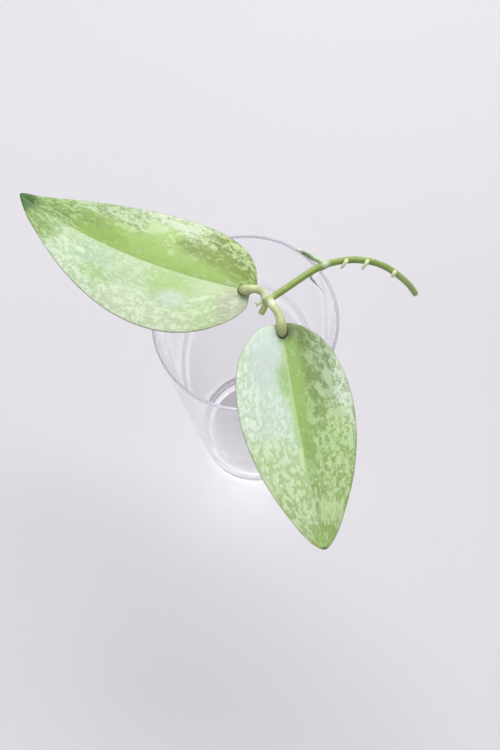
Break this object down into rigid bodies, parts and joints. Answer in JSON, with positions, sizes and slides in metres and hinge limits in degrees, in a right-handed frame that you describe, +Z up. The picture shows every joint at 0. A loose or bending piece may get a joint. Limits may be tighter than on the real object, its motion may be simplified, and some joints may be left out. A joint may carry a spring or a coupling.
{
  "type": "silver hoya cutting on a clear glass",
  "caption": "Silver-splashed hoya cutting with thick pointed leaves, resting across the rim of a tall clear tapered glass.",
  "frame": {"origin": "centre of the glass's foot, on the surface that it stands on", "axes": "+Z up along the glass's axis, +Y to the far side of the picture, +X to its right"},
  "size_m": [0.1733, 0.1676, 0.1938],
  "materials": {
    "clear_glass": "clear, thin, polished",
    "vine": "smooth waxy green stem",
    "leaf": "waxy green blade with silver splashes",
    "petiole": "smooth olive green stalk, pale at its joint",
    "young_leaf": "matt grey-green young leaf",
    "aerial_root": "matt cream root stub"
  },
  "bodies": {
    "root": {"glass_tumbler": "clear_glass", "vine_stem": "vine", "left_leaf": "leaf", "front_leaf": "leaf", "left_petiole": "petiole", "front_petiole": "petiole", "young_leaf_back": "young_leaf", "young_leaf_inside": "young_leaf", "node_root": "aerial_root", "vine_root_near": "aerial_root", "vine_root_middle": "aerial_root", "vine_root_far": "aerial_root"}
  },
  "joints": []
}
